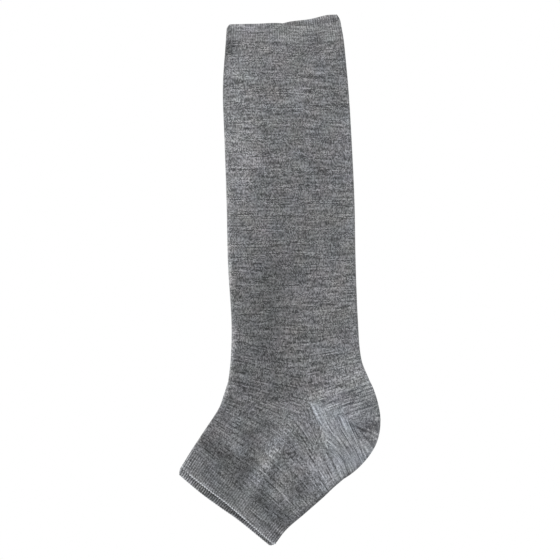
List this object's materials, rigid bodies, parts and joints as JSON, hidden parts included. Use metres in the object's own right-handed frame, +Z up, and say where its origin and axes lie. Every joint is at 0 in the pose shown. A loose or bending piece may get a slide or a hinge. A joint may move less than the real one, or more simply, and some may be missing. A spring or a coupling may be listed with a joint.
{
  "type": "half sock",
  "caption": "Knee-length knitted sock with an open toe, a turned heel pocket and ribbed bands at both rims, relaxed and lying flat on its side.",
  "frame": {"origin": "centre of the overall box in plan, on the floor that the lower layer lies on", "axes": "+Y along the leg towards the top rim, +X towards the heel, +Z up from the floor through the two layers"},
  "size_m": [0.1512, 0.3986, 0.0096],
  "materials": {
    "melange_knit": "soft grey melange jersey knit, matt",
    "reinforced_heel_knit": "lighter, bluish grey reinforced jersey knit, matt",
    "ribbed_welt_knit": "fine vertical rib in grey melange yarn, matt"
  },
  "bodies": {
    "root": {"cuff": "ribbed_welt_knit", "leg": "melange_knit", "heel": "reinforced_heel_knit", "foot": "melange_knit", "toe_band": "ribbed_welt_knit"}
  },
  "joints": []
}
